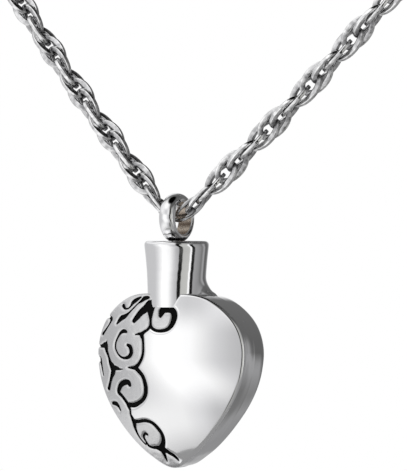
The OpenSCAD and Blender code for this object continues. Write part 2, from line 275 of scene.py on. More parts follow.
# The noise between these two values makes the specks, and bright ones are weaker than dark ones.
SPECK_LOW, SPECK_HIGH, SPECK_BRIGHT = 0.35, 0.65, 0.4


def tint_by(material, attribute, dark, bright, specks, speck_size):
    """Mix the base colour by a number stored on the vertices, and speckle it."""
    tree = material.node_tree
    new, link = tree.nodes.new, tree.links.new
    stored, place = new("ShaderNodeAttribute"), new("ShaderNodeTexCoord")
    cloud = new("ShaderNodeTexNoise")
    stored.attribute_name = attribute
    cloud.inputs["Scale"].default_value = speck_size
    cloud.inputs["Detail"].default_value = 1
    link(place.outputs["Object"], cloud.inputs["Vector"])
    speck, mixed = new("ShaderNodeMapRange"), new("ShaderNodeMix")
    speck.inputs["From Min"].default_value = SPECK_LOW
    speck.inputs["From Max"].default_value = SPECK_HIGH
    speck.inputs["To Min"].default_value = -specks
    speck.inputs["To Max"].default_value = specks * SPECK_BRIGHT
    link(cloud.outputs["Fac"], speck.inputs["Value"])
    total = new("ShaderNodeMath")
    total.use_clamp = True
    link(stored.outputs["Fac"], total.inputs[0])
    link(speck.outputs["Result"], total.inputs[1])
    mixed.data_type = "RGBA"
    mixed.inputs[6].default_value = (*dark, 1)
    mixed.inputs[7].default_value = (*bright, 1)
    link(total.outputs[0], mixed.inputs[0])
    link(mixed.outputs[2], tree.nodes["Principled BSDF"].inputs["Base Color"])


# The dark colour is painted shade for wire deep in the rope. The specks are uneven wire.
tint_by(WIRE, "rope_shade", (0.3, 0.3, 0.305), (1.0, 1.0, 1.0), specks=0.45, speck_size=1600)


def streaked(material, dark, light, stripes):
    """Lay soft level stripes in two colours, as a mirror shows what lies before it."""
    tree = material.node_tree
    place = tree.nodes.new("ShaderNodeTexCoord")
    bands = tree.nodes.new("ShaderNodeTexWave")
    bands.bands_direction = "Z"
    bands.inputs["Scale"].default_value = stripes
    bands.inputs["Distortion"].default_value = 2.5
    bands.inputs["Detail Scale"].default_value = 300
    mixed = tree.nodes.new("ShaderNodeMix")
    mixed.data_type = "RGBA"
    mixed.inputs[6].default_value = (*dark, 1)
    mixed.inputs[7].default_value = (*light, 1)
    tree.links.new(place.outputs["Object"], bands.inputs["Vector"])
    tree.links.new(bands.outputs["Fac"], mixed.inputs[0])
    tree.links.new(mixed.outputs[2], tree.nodes["Principled BSDF"].inputs["Base Color"])


# A near-black finish, painted shade and dark reflection where the ring's foot meets the head.
RING_FOOT_SHADE = finish("painted ring-foot shade", (0.05, 0.05, 0.052), 1.0, 0.3, wave=0.3, wave_size=900)
# Painted reflection: warm beige stripes on the ring's inside, as its mirror wall would show.
RING_REFLECTION = finish("painted ring reflection", (0.7, 0.6, 0.5), 0.35, 0.3, wave=0.2, wave_size=500, haze=0.06)
streaked(RING_REFLECTION, (0.28, 0.21, 0.16), (0.92, 0.8, 0.67), stripes=300)
print("finishes", [m.name for m in (STEEL, WORKED, WIRE, ENAMEL, RING_FOOT_SHADE, RING_REFLECTION)])


def dress(mesh, materials):
    """Give a mesh its materials and keep which face has which of them."""
    which = np.zeros(len(mesh.polygons), np.int32)
    mesh.polygons.foreach_get("material_index", which)
    mesh.materials.clear()
    for material in materials:
        mesh.materials.append(material)
    mesh.polygons.foreach_set("material_index", which)


def keep(name, mesh, materials, place, sharp=30):
    """Put a finished millimetre mesh in its place, in metres, as one named object."""
    mesh.transform(Matrix.Translation(place) @ Matrix.Scale(MM, 4))
    mesh.name = name
    dress(mesh, materials)
    mesh.polygons.foreach_set("use_smooth", [True] * len(mesh.polygons))
    mesh.set_sharp_from_angle(angle=math.radians(sharp))
    piece = bpy.data.objects.new(name, mesh)
    bpy.context.scene.collection.objects.link(piece)
    mesh.calc_loop_triangles()
    print(name, len(mesh.vertices), "vertices", len(mesh.loop_triangles), "triangles")
    return piece


def mesh_of(bm, name="working"):
    mesh = bpy.data.meshes.new(name)
    bm.to_mesh(mesh)
    bm.free()
    return mesh


# %% [markdown]
# The heart is a soft outline in polar form: a radius for every direction from a middle point.
# The face is a shallow dome that ends in a tight rounded rim. A flat side wall goes back to a
# crease at the middle plane, and the back half is a little smaller. The same few functions
# give every point, so that the ornament can later be bent round the rim with the metal.

# %% Heart outline and dome
HEART_W, HEART_H = 19.1, 19.5
WALL_FRONT, WALL_BACK = 1.1, 0.9
RIM_IN, RIM_UP = 0.32, 0.3
# The face's rise, then its highest place and its reach up and down as shares of the height.
DOME_RISE, DOME_MIDDLE, DOME_REACH, DOME_REACH_LOW = 2.4, 0.6, 0.64, 0.54
BACK_DEPTH, BACK_TAPER, BACK_ROUND = 3.8, 0.15, 0.8
# The side wall swells by this much halfway back.
WALL_CROWN = 0.02
# Radius shares every STEP degrees, from straight up to the tip.
OUTLINE = np.array([
    0.82, 0.92, 0.99, 1.03, 1.055, 1.037, 0.985, 0.943, 0.918, 0.922, 0.97, 1.056, 1.152,
])
STEP = 15
TIP = len(OUTLINE) - 1
RIM_LEN = math.pi / 2 * math.sqrt((RIM_IN**2 + RIM_UP**2) / 2)


def spline(a, b, c, d, t):
    """A smooth curve from b to c that leans on its neighbours a and d."""
    square, cube = 2 * a - 5 * b + 4 * c - d, 3 * b - a - 3 * c + d
    return 0.5 * (2 * b + (c - a) * t + square * t * t + cube * t**3)


def outline_share(turn):
    """Radius share of the outline for turns in degrees from straight up."""
    turn = np.abs((np.asarray(turn, float) + 540) % 360 - 180) / STEP
    i = np.minimum(np.floor(turn).astype(int), TIP - 1)
    before = OUTLINE[np.abs(i - 1)]
    after = OUTLINE[np.where(i == TIP - 1, TIP - 1, np.minimum(i + 2, TIP))]
    return spline(before, OUTLINE[i], OUTLINE[i + 1], after, turn - i)


def sine(turn):
    return np.sin(np.radians(turn))


def cosine(turn):
    return np.cos(np.radians(turn))


whole_turn = np.arange(72) * 5.0
widest = float((outline_share(whole_turn) * sine(whole_turn)).max())
height_share = float(OUTLINE[TIP] + (outline_share(whole_turn) * cosine(whole_turn)).max())
SHARE_X, SHARE_Z = HEART_W / 2 / widest, HEART_H / height_share
MIDDLE_Z = SHARE_Z * OUTLINE[TIP]


def ray_length(turn):
    return np.hypot(SHARE_X * sine(turn), SHARE_Z * cosine(turn))


def ray_point(turn, share):
    return SHARE_X * share * sine(turn), MIDDLE_Z + SHARE_Z * share * cosine(turn)


def dome(x, z):
    up = z - DOME_MIDDLE * HEART_H
    up = up / (np.where(up < 0, DOME_REACH_LOW, DOME_REACH) * HEART_H)
    return DOME_RISE * (1 - (x / (HEART_W / 2)) ** 2 - up**2)


def rolled(ux, uz):
    """Where points of the unrolled face lie on the heart, in millimetres."""
    unit_x, unit_z = ux / SHARE_X, (uz - MIDDLE_Z) / SHARE_Z
    turn = np.degrees(np.arctan2(unit_x, unit_z))
    length = ray_length(turn)
    edge = outline_share(turn) - RIM_IN / length
    reach = np.hypot(unit_x, unit_z)
    over = (reach - edge) * length
    bend = 90 * np.clip(over / RIM_LEN, 0, 1)
    share = np.where(over <= 0, reach, edge + RIM_IN * sine(bend) / length)
    x, z = ray_point(turn, share)
    down_wall = np.maximum(over - RIM_LEN, 0)
    y = -WALL_FRONT - RIM_UP * cosine(bend) - dome(x, z) + down_wall
    along_wall = np.clip(down_wall / (WALL_FRONT + WALL_BACK + dome(x, z)), 0, 1)
    x, z = ray_point(turn, share + WALL_CROWN * np.sin(np.pi * along_wall) ** 2 / length)
    return np.stack([x, y, z], axis=-1)


def face_normal(ux, uz):
    e = 0.02
    across = rolled(ux + e, uz) - rolled(ux - e, uz)
    up = rolled(ux, uz + e) - rolled(ux, uz - e)
    n = np.cross(across, up)
    return n / np.linalg.norm(n, axis=-1, keepdims=True)


print("middle of the heart at", round(MIDDLE_Z, 2), "mm over its tip")

# %% [markdown]
# The scrollwork is drawn as the black lines between the polished bands. Each line is a short
# row of stations: across, up, and the line's width, in twentieths of the heart and in
# ordinary line widths. They lie on the unrolled face, like a drawing on foil.

# %% Ornament lines
LINE_W = 0.36
LINES = {
    "hook_outer": [
        (0.6, 18.2, 1.8), (1.2, 18.2, 2), (1.6, 17.8, 2), (1.65, 17.2, 1.9), (1.4, 16.5, 1.6),
        (0.9, 16, 1.3), (0.2, 15.8, 1.1), (-0.5, 15.8, 1), (-1.1, 16, 1), (-1.5, 16.3, 1.2),
    ],
    "hook_inner": [(-0.2, 17.4, 0.8), (-0.1, 17.8, 1.8), (0.1, 18.2, 2.4), (0.6, 18.2, 1.8)],
    "hook_left": [
        (-1.3, 19.3, 1.6), (-1.5, 18.8, 2.6), (-1.65, 18.2, 2.5), (-1.6, 17.6, 1.6),
        (-1.55, 17.1, 0.9), (-1.5, 16.7, 0.8), (-1.5, 16.3, 1.2),
    ],
    "neck_foot_left": [(-1.3, 19.2, 1.5), (-0.9, 19, 1.1), (-0.4, 18.8, 0.7)],
    "neck_foot_right": [(0.8, 18.3, 1.3), (1.3, 18.9, 1.1), (1.6, 19.4, 0.9), (1.9, 19.8, 0.7)],
    "face_edge_upper": [
        (-1.5, 16.3, 1.2), (-1.9, 15.9, 0.9), (-2.4, 15.6, 1.1), (-2.7, 15.3, 1.5),
        (-2.5, 14.8, 0.9), (-2.4, 14, 0.8), (-2.4, 13.3, 0.9), (-2.6, 12.6, 1), (-3, 12, 1.1),
        (-3.5, 11.5, 1.5),
    ],
    "edge_horn": [(-2.7, 15.4, 1.3), (-3.2, 15.4, 0.8), (-3.7, 15.3, 0.3)],
    "face_edge_lower": [
        (-3.5, 11.5, 1.5), (-3, 11.1, 1.4), (-2.5, 10.6, 1.3), (-2.2, 9.9, 1.4), (-2.1, 9.2, 1.5),
        (-2.2, 8.5, 1.4), (-2.6, 7.9, 1.3), (-3.2, 7.5, 1.4), (-4, 7.2, 1.6), (-4.8, 7.2, 1.5),
    ],
    "between_scrolls": [(-3.5, 11.5, 1.5), (-4.1, 11.5, 0.9), (-4.7, 11.5, 0.3)],
    "scroll_1_curl": [
        (-4.8, 14.1, 1), (-4.4, 13.9, 1.4), (-4.2, 13.3, 1.5), (-4.5, 12.8, 1.3),
        (-5.1, 12.6, 0.9), (-5.8, 12.7, 0.7), (-6.4, 13.1, 0.6), (-6.8, 13.7, 0.6),
        (-6.8, 14.3, 0.7), (-6.5, 14.9, 0.7), (-6, 15.5, 1), (-5.5, 15.7, 1.3), (-5.1, 15.6, 0.8),
    ],
    "scroll_2_curl": [
        (-4.5, 9.5, 1.2), (-4.7, 9.8, 1.6), (-5.2, 9.8, 1.8), (-5.9, 9.5, 1.8), (-6.3, 9, 1.6),
        (-6.4, 8.6, 1.3), (-5.9, 8.2, 1.1), (-5.4, 7.7, 1.1), (-5, 7.2, 1.4),
    ],
    "spine": [
        (-5, 7.1, 1.4), (-4.8, 6.6, 0.8), (-4.8, 6.1, 0.7), (-4.6, 5.6, 1.2), (-4.4, 5.1, 1.6),
        (-4.4, 4.6, 1.1), (-4.2, 3.9, 0.7), (-3.8, 3.2, 0.5), (-3.2, 2.6, 0.5),
    ],
    "scroll_3_edge": [
        (-4.4, 5.3, 1.5), (-3.7, 5.3, 1.1), (-3, 5.4, 1.1), (-2.4, 5.4, 1.1), (-1.7, 5.2, 1.1),
        (-1.1, 4.7, 1.2), (-0.6, 4, 1.2), (-0.5, 3.3, 1.3), (-0.7, 2.7, 1.7), (-1, 2.3, 2.1),
    ],
    "scroll_3_curl": [
        (-2.7, 3.8, 0.8), (-3, 3.9, 0.9), (-3.3, 3.5, 0.8), (-3.1, 3, 0.7), (-2.8, 2.5, 0.8),
        (-2.3, 2.3, 0.8), (-1.7, 2.3, 1.2), (-1.2, 2.2, 1.8),
    ],
    "tail_upper": [
        (-1, 2.2, 2.1), (-0.5, 2, 1.4), (0, 1.7, 1.2), (0.5, 1.4, 1), (0.9, 1, 0.7), (1, 0.8, 0.3),
    ],
    "tail_lower": [(-1, 2.1, 1.8), (-0.8, 1.6, 1.2), (-0.7, 1.1, 0.8), (-0.6, 0.7, 0.3)],
    "hook_2_curl": [
        (-4, 16.9, 1.5), (-3.5, 17.4, 2), (-3, 17.9, 2.2), (-2.4, 18.3, 2.6), (-1.9, 18.8, 2.8),
    ],
    "band_line": [
        (-6.8, 16.5, 0.5), (-6.4, 16.9, 1.3), (-6, 17.2, 1.7), (-5.5, 17.4, 1.4),
        (-4.9, 17.8, 0.7), (-4.2, 18.4, 0.5), (-3.6, 18.9, 0.5), (-3.1, 19.2, 1),
        (-2.7, 19.5, 1.5), (-2.2, 19.6, 1.2),
    ],
    "upper_curl": [
        (-5.9, 18.6, 1.3), (-5.6, 18.3, 0.8), (-5.1, 18.3, 0.5), (-4.7, 18.6, 0.7),
        (-4.4, 19, 1.3), (-3.9, 19.3, 1.3), (-3.3, 19.6, 0.7),
    ],
    "left_upper_curl": [
        (-9.5, 17.5, 0.5), (-8.9, 17.5, 0.9), (-8.3, 17.3, 1), (-7.8, 17.1, 1.2), (-8, 16.6, 0.6),
        (-8.6, 15.9, 0.6), (-9.2, 15.3, 1),
    ],
    "left_wedge": [
        (-10.2, 13.9, 0.5), (-9.3, 13.9, 1.1), (-8.6, 14, 2), (-8.4, 13.4, 1.3), (-8, 12.7, 0.9),
        (-7.7, 12, 1.4), (-7.3, 11.5, 2.2), (-7.2, 11, 2.1), (-7.5, 10.4, 1.4), (-7.8, 9.7, 1.1),
        (-8.1, 9, 1.3),
    ],
    "wedge_tip": [(-8.6, 13.9, 1.6), (-8.4, 14.5, 0.4)],
    "wedge_horn": [(-7.2, 11.4, 2), (-6.6, 11.4, 1.4), (-6.1, 11.3, 0.7), (-5.6, 11.3, 0.3)],
    "left_curl": [
        (-10.2, 12.3, 1.5), (-9.7, 12.4, 1.8), (-9.4, 12, 0.9), (-9.2, 11.3, 0.6), (-9, 10.5, 0.4),
    ],
    "lower_left_curl": [
        (-7.6, 7.3, 1), (-7.2, 7.3, 1.4), (-6.9, 7.2, 1.3), (-6.6, 6.9, 0.9), (-6.4, 6.5, 0.5),
    ],
}
PER_STATION = 6


def smooth_row(stations, per_station):
    """Points of the smooth curve through a row of stations, ends included."""
    rows = np.array(stations, float)
    last = len(rows) - 1
    place = np.linspace(0, last, last * per_station + 1)
    i = np.minimum(place.astype(int), last - 1)
    pick = [rows[np.clip(i + k, 0, last)] for k in (-1, 0, 1, 2)]
    return spline(*pick, (place - i)[:, None])


def ornament_segments():
    starts, ends = [], []
    for stations in LINES.values():
        row = smooth_row(stations, PER_STATION)
        row = row * (HEART_W / 20, HEART_H / 20, LINE_W / 2)
        starts.append(row[:-1])
        ends.append(row[1:])
    return np.concatenate(starts), np.concatenate(ends)


SEGMENT_A, SEGMENT_B = ornament_segments()
# Points right of the ornament need no search, and get a distance that is simply far.
ORNAMENT_RIGHT, FAR = 3.2, 9.0
# So many points are measured at a time, which keeps the arrays small.
BATCH = 4000


def ground_distance(ux, uz):
    """Distance to the edge of the black ground, less than zero inside it."""
    found = np.full(len(ux), FAR)
    near = np.flatnonzero(ux < ORNAMENT_RIGHT)
    along = SEGMENT_B - SEGMENT_A
    square = np.maximum((along[:, :2] ** 2).sum(1), 1e-9)
    for batch in np.array_split(near, max(1, len(near) // BATCH)):
        to = np.stack([ux[batch], uz[batch]], 1)[:, None, :] - SEGMENT_A[None, :, :2]
        t = np.clip((to * along[None, :, :2]).sum(2) / square, 0, 1)
        away = to - t[:, :, None] * along[None, :, :2]
        half = SEGMENT_A[None, :, 2] + t * along[None, :, 2]
        found[batch] = (np.hypot(away[:, :, 0], away[:, :, 1]) - half).min(1)
    return found


print(len(LINES), "ornament lines in", len(SEGMENT_A), "short segments")

# %% [markdown]
# Real scrollwork of this kind is cast: the ground lies deep and the bands between are polished
# round. Here the face starts as a flat sheet, a grid bent to a fan round the heart's middle.
# Its quads are cut exactly along the edges of the ground, the ground is extruded down, and
# last the whole sheet is rolled onto the heart. Cutting gives crisp edges with few faces.

# %% Flat sheet of the front
GROUND_DEPTH = 0.38
# A point lower than this is on the ground's floor.
DEEP = -0.9 * GROUND_DEPTH
EDGE_ROUND, EDGE_DROP = 0.26, 0.1
# A point whose stored distance is this near to a cut counts as lying on it.
SNAP, TINY = 0.006, 1e-6
FACE_ROWS, RIM_ROWS, WALL_ROWS = 88, 8, 14
# Columns are close together on the ornament's side and wider on the plain side.
COLUMN_STOPS = [(-186, 0), (22, 380), (174, 480)]


def fan(bm, rows, place_row, stops=COLUMN_STOPS):
    """A grid bent into a fan round the heart's middle: each row is placed by its own rule."""
    columns = stops[-1][1]
    bmesh.ops.create_grid(bm, x_segments=columns, y_segments=rows, size=0.5)
    co = np.array([v.co for v in bm.verts])
    column = (co[:, 0] + 0.5) * columns
    row = np.rint((co[:, 1] + 0.5) * rows).astype(int)
    turns, indices = zip(*stops)
    turn = np.interp(column, indices, turns)
    out = np.empty_like(co)
    for k in range(rows + 1):
        here = row == k
        out[here] = place_row(k, turn[here])
    for vert, point in zip(bm.verts, out):
        vert.co = point
    bmesh.ops.remove_doubles(bm, verts=bm.verts, dist=1e-5)


def flat_row(k, turn):
    length = ray_length(turn)
    edge = outline_share(turn) - RIM_IN / length
    if k <= FACE_ROWS:
        share = edge * k / FACE_ROWS
    elif k <= FACE_ROWS + RIM_ROWS:
        share = edge + RIM_LEN * (k - FACE_ROWS) / RIM_ROWS / length
    else:
        wall = WALL_FRONT + WALL_BACK + dome(*ray_point(turn, outline_share(turn)))
        share = edge + (RIM_LEN + wall * (k - FACE_ROWS - RIM_ROWS) / WALL_ROWS) / length
    x, z = ray_point(turn, share)
    return np.stack([x, z, 0 * x], axis=-1)


def cut_along(bm, layer, level):
    """Cut every face along the line where the stored distance equals a level."""
    fresh = []
    for vert in bm.verts:
        if abs(vert[layer] - level) < SNAP:
            vert[layer] = level
            fresh.append(vert)
    for edge in list(bm.edges):
        a, b = edge.verts
        da, db = a[layer] - level, b[layer] - level
        if da * db < 0:
            vert = bmesh.utils.edge_split(edge, a, da / (da - db))[1]
            vert[layer] = level
            fresh.append(vert)
    bmesh.ops.connect_verts(bm, verts=fresh)
    return len(fresh)


sheet = bmesh.new()
fan(sheet, FACE_ROWS + RIM_ROWS + WALL_ROWS, flat_row)
layer = sheet.verts.layers.float.new("distance")
flat = np.array([v.co for v in sheet.verts])
for vert, d in zip(sheet.verts, ground_distance(flat[:, 0], flat[:, 1])):
    vert[layer] = d
cuts = cut_along(sheet, layer, 0.0)
ground = []
for face in sheet.faces:
    distances = [v[layer] for v in face.verts]
    if sum(distances) < -TINY and max(distances) < TINY:
        ground.append(face)
for vert in sheet.verts:
    if 0 <= vert[layer] < EDGE_ROUND:
        vert.co.z = -EDGE_DROP * (1 - vert[layer] / EDGE_ROUND) ** 2
made = bmesh.ops.extrude_face_region(sheet, geom=ground)["geom"]
floor_faces = [g for g in made if isinstance(g, bmesh.types.BMFace)]
for vert in {v for f in floor_faces for v in f.verts}:
    vert.co.z = -GROUND_DEPTH


def in_scrollwork(x, z):
    """Which points lie on the ornament's side of the line that ends the plain face."""
    edge = []
    for name, first, last in (
        ("hook_outer", 1, 9), ("face_edge_upper", 1, 10), ("face_edge_lower", 1, 9),
        ("spine", 1, 4), ("scroll_3_edge", 1, 10), ("tail_upper", 1, 6),
    ):
        edge += [(s[0] * HEART_W / 20, s[1] * HEART_H / 20) for s in LINES[name][first:last]]
    # The line is closed well outside the heart.
    edge += [(1, -4), (-16, -4), (-16, 26), (edge[0][0], 26)]
    inside = np.zeros(len(x), bool)
    for (xa, za), (xb, zb) in zip(edge, edge[1:] + edge[:1]):
        if za != zb:
            inside ^= ((za > z) != (zb > z)) & (x < xa + (z - za) * (xb - xa) / (zb - za))
    return inside


centres = np.array([f.calc_center_median() for f in sheet.faces])
for face, worked in zip(sheet.faces, in_scrollwork(centres[:, 0], centres[:, 1])):
    deep = min(v.co.z for v in face.verts) < DEEP
    face.material_index = 1 if deep else 2 if worked else 0
bmesh.ops.delete(sheet, geom=[f for f in ground if f.is_valid], context="FACES")
print(len(sheet.faces), "faces,", cuts, "cuts,", len(floor_faces), "faces of ground")


def roll(bm):
    """Bend a flat sheet round the heart. Its height over the sheet becomes height over metal."""
    flat = np.array([v.co for v in bm.verts])
    points = rolled(flat[:, 0], flat[:, 1])
    points += flat[:, 2:] * face_normal(flat[:, 0], flat[:, 1])
    for vert, point in zip(bm.verts, points):
        vert.co = point


# %% [markdown]
# The black in the recesses is enamel, a thin piece of its own: a copy of the ground's faces,
# drawn in a hair from the walls, given its thickness, and rolled on the same way.

# %% Enamel
ENAMEL_GAP, ENAMEL_T = 0.03, 0.14
enamel_bm = sheet.copy()
above = [f for f in enamel_bm.faces if max(v.co.z for v in f.verts) > DEEP]
bmesh.ops.delete(enamel_bm, geom=above, context="FACES")
rim = bmesh.ops.inset_region(
    enamel_bm, faces=enamel_bm.faces, use_boundary=True, use_even_offset=False,
    thickness=ENAMEL_GAP,
)["faces"]
bmesh.ops.delete(enamel_bm, geom=rim, context="FACES")
for vert in enamel_bm.verts:
    vert.co.z = -GROUND_DEPTH + ENAMEL_GAP
bottom = list(enamel_bm.faces)
top = bmesh.ops.extrude_face_region(enamel_bm, geom=bottom, use_keep_orig=True)["geom"]
for vert in {g for g in top if isinstance(g, bmesh.types.BMVert)}:
    vert.co.z += ENAMEL_T
bmesh.ops.reverse_faces(enamel_bm, faces=bottom)
roll(enamel_bm)
roll(sheet)
scroll_enamel = keep("scroll_ground_enamel", mesh_of(enamel_bm), [ENAMEL], PENDANT_PLACE, sharp=40)

# %% [markdown]
# The back half: a crease with a fine bevel that catches the light, a wall that leans in a
# little, a rounded edge and a back that is flat above and a little thinner toward the tip.

# %% Back of the heart
CREASE = 0.05
# The share of the back's depth that is gone at the tip.
TIP_THINNER = 0.2
crease_end, wall_end = WALL_BACK + CREASE, BACK_DEPTH - BACK_ROUND
back_rings = [(0, WALL_BACK), (CREASE, crease_end)]
for part in (0.35, 0.7, 1):
    inset = CREASE + (BACK_TAPER - CREASE) * part
    back_rings.append((inset, crease_end + (wall_end - crease_end) * part))
for bend in (15, 30, 45, 60, 75, 90):
    inset = BACK_TAPER + BACK_ROUND * (1 - cosine(bend))
    back_rings.append((inset, wall_end + BACK_ROUND * sine(bend)))
# Rings of the back face, as shares of its own outline.
BACK_SHARES = (0.7, 0.4, 0.15, 0)


def back_row(k, turn):
    inset, y = back_rings[min(k, len(back_rings) - 1)]
    share = outline_share(turn) - inset / ray_length(turn)
    if k >= len(back_rings):
        share = share * BACK_SHARES[k - len(back_rings)]
    x, z = ray_point(turn, share)
    toward_tip = np.clip((MIDDLE_Z - z) / MIDDLE_Z, 0, 1)
    y = WALL_BACK + (y - WALL_BACK) * (1 - TIP_THINNER * toward_tip**2)
    return np.stack([x, y, z], axis=-1)


back = bmesh.new()
fan(back, len(back_rings) + len(BACK_SHARES) - 1, back_row)
back_mesh = mesh_of(back)
sheet.from_mesh(back_mesh)
bmesh.ops.remove_doubles(sheet, verts=sheet.verts, dist=1e-4)
bmesh.ops.recalc_face_normals(sheet, faces=sheet.faces)
open_edges = sum(1 for e in sheet.edges if not e.is_manifold)
print("heart:", open_edges, "open edges,", len(sheet.faces), "faces")

# %% [markdown]
# The neck is turned on a lathe: a waisted tube with a rounded rim, so its profile is spun. It
# is welded to the shoulders of the heart with a hollow fillet at the sides, while in front it
# meets the face in a sharp line. The weld, the bore and the ash chamber are Booleans, because
# the surfaces meet in curves that no grid follows.

# %% Neck
NECK_TOP = 25.4
NECK_PROFILE = [
    (0, 18.0), (3.22, 18.0), (3.24, 19.0), (3.26, 20.0), (3.29, 21.0), (3.34, 22.0), (3.42, 23.0),
    (3.52, 24.0), (3.6, 24.7), (3.62, 24.95), (3.6, 25.1), (3.53, 25.24), (3.42, 25.34),
    (3.26, 25.4), (0, 25.4),
]
# The fillet widens downward from FILLET_TOP. Going round from the front, in degrees, it sets
# in before the side and is full behind it. Points nearer the axis than FILLET_INSIDE stay.
FILLET_TOP, FILLET_R, FILLET_INSIDE = 21.5, 2.15, 3.0
FILLET_FROM, FILLET_FULL = 72, 116
# Its curve stops just short of level, and it reaches less far to the back than to the side.
FILLET_END, FILLET_DEPTH = 0.97, 0.35


def whole_spin(bm, axis, steps):
    """Spin everything once round an axis through the origin, and join it up."""
    bmesh.ops.spin(
        bm, geom=bm.verts[:] + bm.edges[:], cent=(0, 0, 0), axis=axis, dvec=(0, 0, 0),
        angle=2 * math.pi, steps=steps, use_merge=True, use_duplicate=False,
    )


def spun(profile, steps, axis="Z"):
    """A closed solid of revolution from a profile of radius and height, about Z or X."""
    bm = bmesh.new()
    verts = [bm.verts.new((r, 0, h)) for r, h in profile]
    for a, b in zip(verts, verts[1:]):
        bm.edges.new((a, b))
    if profile[0][0] > 0:
        bm.edges.new((verts[-1], verts[0]))
    whole_spin(bm, (0, 0, 1), steps)
    bmesh.ops.remove_doubles(bm, verts=bm.verts, dist=1e-5)
    bmesh.ops.recalc_face_normals(bm, faces=bm.faces)
    if axis == "X":
        quarter = Matrix.Rotation(math.pi / 2, 3, "Y")
        bmesh.ops.rotate(bm, verts=bm.verts, cent=(0, 0, 0), matrix=quarter)
    return bm


def fine_rows(profile, most=0.25):
    """The same profile with long straight runs parted, so that they can be bent."""
    rows = [profile[0]]
    for (r0, z0), (r1, z1) in zip(profile, profile[1:]):
        parts = max(1, math.ceil(abs(z1 - z0) / most))
        for k in range(1, parts + 1):
            rows.append((r0 + (r1 - r0) * k / parts, z0 + (z1 - z0) * k / parts))
    return rows


neck_bm = spun(fine_rows(NECK_PROFILE), 144)
for vert in neck_bm.verts:
    r = math.hypot(vert.co.x, vert.co.y)
    drop = FILLET_TOP - vert.co.z
    if r < FILLET_INSIDE or drop <= 0:
        continue
    side = abs(math.degrees(math.atan2(vert.co.x, -vert.co.y)))
    weight = min(max((side - FILLET_FROM) / (FILLET_FULL - FILLET_FROM), 0), 1)
    weight = weight * weight * (3 - 2 * weight)
    drop = min(drop, FILLET_R * FILLET_END)
    flare = FILLET_R - math.sqrt(FILLET_R**2 - drop**2)
    vert.co.x *= 1 + weight * flare / r
    vert.co.y *= 1 + weight * min(flare, FILLET_DEPTH) / r
neck_mesh = mesh_of(neck_bm, "neck")
print("neck", len(neck_mesh.polygons), "faces")

# %% [markdown]
# The urn is hollow: a bore leads down the neck, past a seat for the plug's head, into a
# chamber that keeps a shell's thickness inside the heart. The bore is spun, and the chamber is
# a fan of a few rings. Exact Booleans take both out of the solid, as a drill would. A shell
# made by a Solidify modifier would repeat every groove inside, where a plain wall is likelier.

# %% Bore and ash chamber
BORE_R, HEAD_R, HEAD_T, CLEAR = 1.7, 2.3, 0.5, 0.05
SHELL_T = 1.3
# The seat's mouth and the head's upper edge are bevelled alike, the head's lower edge less.
BEVEL, LOWER_BEVEL, MOUTH = 0.06, 0.05, 0.01
seat_r, seat_z = HEAD_R + CLEAR, NECK_TOP - HEAD_T - CLEAR
bore_profile = [
    (0, MIDDLE_Z), (BORE_R, MIDDLE_Z), (BORE_R, seat_z), (seat_r, seat_z),
    (seat_r, NECK_TOP + MOUTH - BEVEL), (seat_r + BEVEL, NECK_TOP + MOUTH),
    (seat_r + BEVEL, NECK_TOP + 1), (0, NECK_TOP + 1),
]
bore_mesh = mesh_of(spun(bore_profile, 96), "bore")
inner_y = -WALL_FRONT - RIM_UP + SHELL_T
# How a ring of the chamber is placed, its inset (a share of the outline on the face) and its
# depth.
CHAMBER_ROWS = [
    ("face", 0, inner_y), ("face", 0.45, inner_y), ("domed", RIM_IN + SHELL_T, inner_y),
    ("flat", SHELL_T, -WALL_FRONT + SHELL_T / 3), ("flat", SHELL_T, WALL_BACK),
    ("flat", SHELL_T + BACK_TAPER, BACK_DEPTH - SHELL_T), ("middle", 0, BACK_DEPTH - SHELL_T),
]


def chamber_row(k, turn):
    kind, inset, y = CHAMBER_ROWS[k]
    share = outline_share(turn) - inset / ray_length(turn)
    if kind == "face":
        share = inset * outline_share(turn)
    elif kind == "middle":
        share = 0 * turn
    x, z = ray_point(turn, share)
    y = y - dome(x, z) if kind in ("face", "domed") else y + 0 * x
    return np.stack([x, y, z], axis=-1)


chamber_bm = bmesh.new()
fan(chamber_bm, len(CHAMBER_ROWS) - 1, chamber_row, stops=[(-180, 0), (180, 60)])
bmesh.ops.recalc_face_normals(chamber_bm, faces=chamber_bm.faces)
chamber_mesh = mesh_of(chamber_bm, "chamber")


def combined(base, steps, materials):
    """The base mesh after a row of Booleans, each a mesh and UNION or DIFFERENCE."""
    def stand(mesh):
        dress(mesh, materials)
        stand_in = bpy.data.objects.new("working", mesh)
        bpy.context.scene.collection.objects.link(stand_in)
        return stand_in

    body = stand(base)
    tools = []
    for mesh, operation in steps:
        tool = stand(mesh)
        tools.append(tool)
        modifier = body.modifiers.new(operation, "BOOLEAN")
        modifier.operation = operation
        modifier.solver = "EXACT"
        modifier.object = tool
    worked_out = body.evaluated_get(bpy.context.evaluated_depsgraph_get())
    result = bpy.data.meshes.new_from_object(worked_out)
    for stand_in in [body] + tools:
        bpy.data.objects.remove(stand_in)
    return result


heart_steps = [
    (neck_mesh, "UNION"), (bore_mesh, "DIFFERENCE"), (chamber_mesh, "DIFFERENCE"),
]
heart_finishes = [STEEL, ENAMEL, WORKED]
heart_mesh = combined(mesh_of(sheet, "heart"), heart_steps, heart_finishes)
heart = keep("heart_urn_body", heart_mesh, heart_finishes, PENDANT_PLACE, sharp=32)

# %% [markdown]
# The bail is a broad ring, rounded outside and flat inside, soldered to a flush round head,
# with the threaded plug under it. The ring is a spun profile. The thread is a grid rolled to
# a cylinder whose radius follows a helix, which no spun profile can give.

# %% Bail ring, head and threaded plug
BAIL_R, BAIL_WALL, BAIL_BAND, BAIL_SUNK = 2.8, 0.95, 2.0, 0.25
HOLE_R = BAIL_R - BAIL_WALL
BAIL_Z = NECK_TOP + BAIL_R - BAIL_SUNK
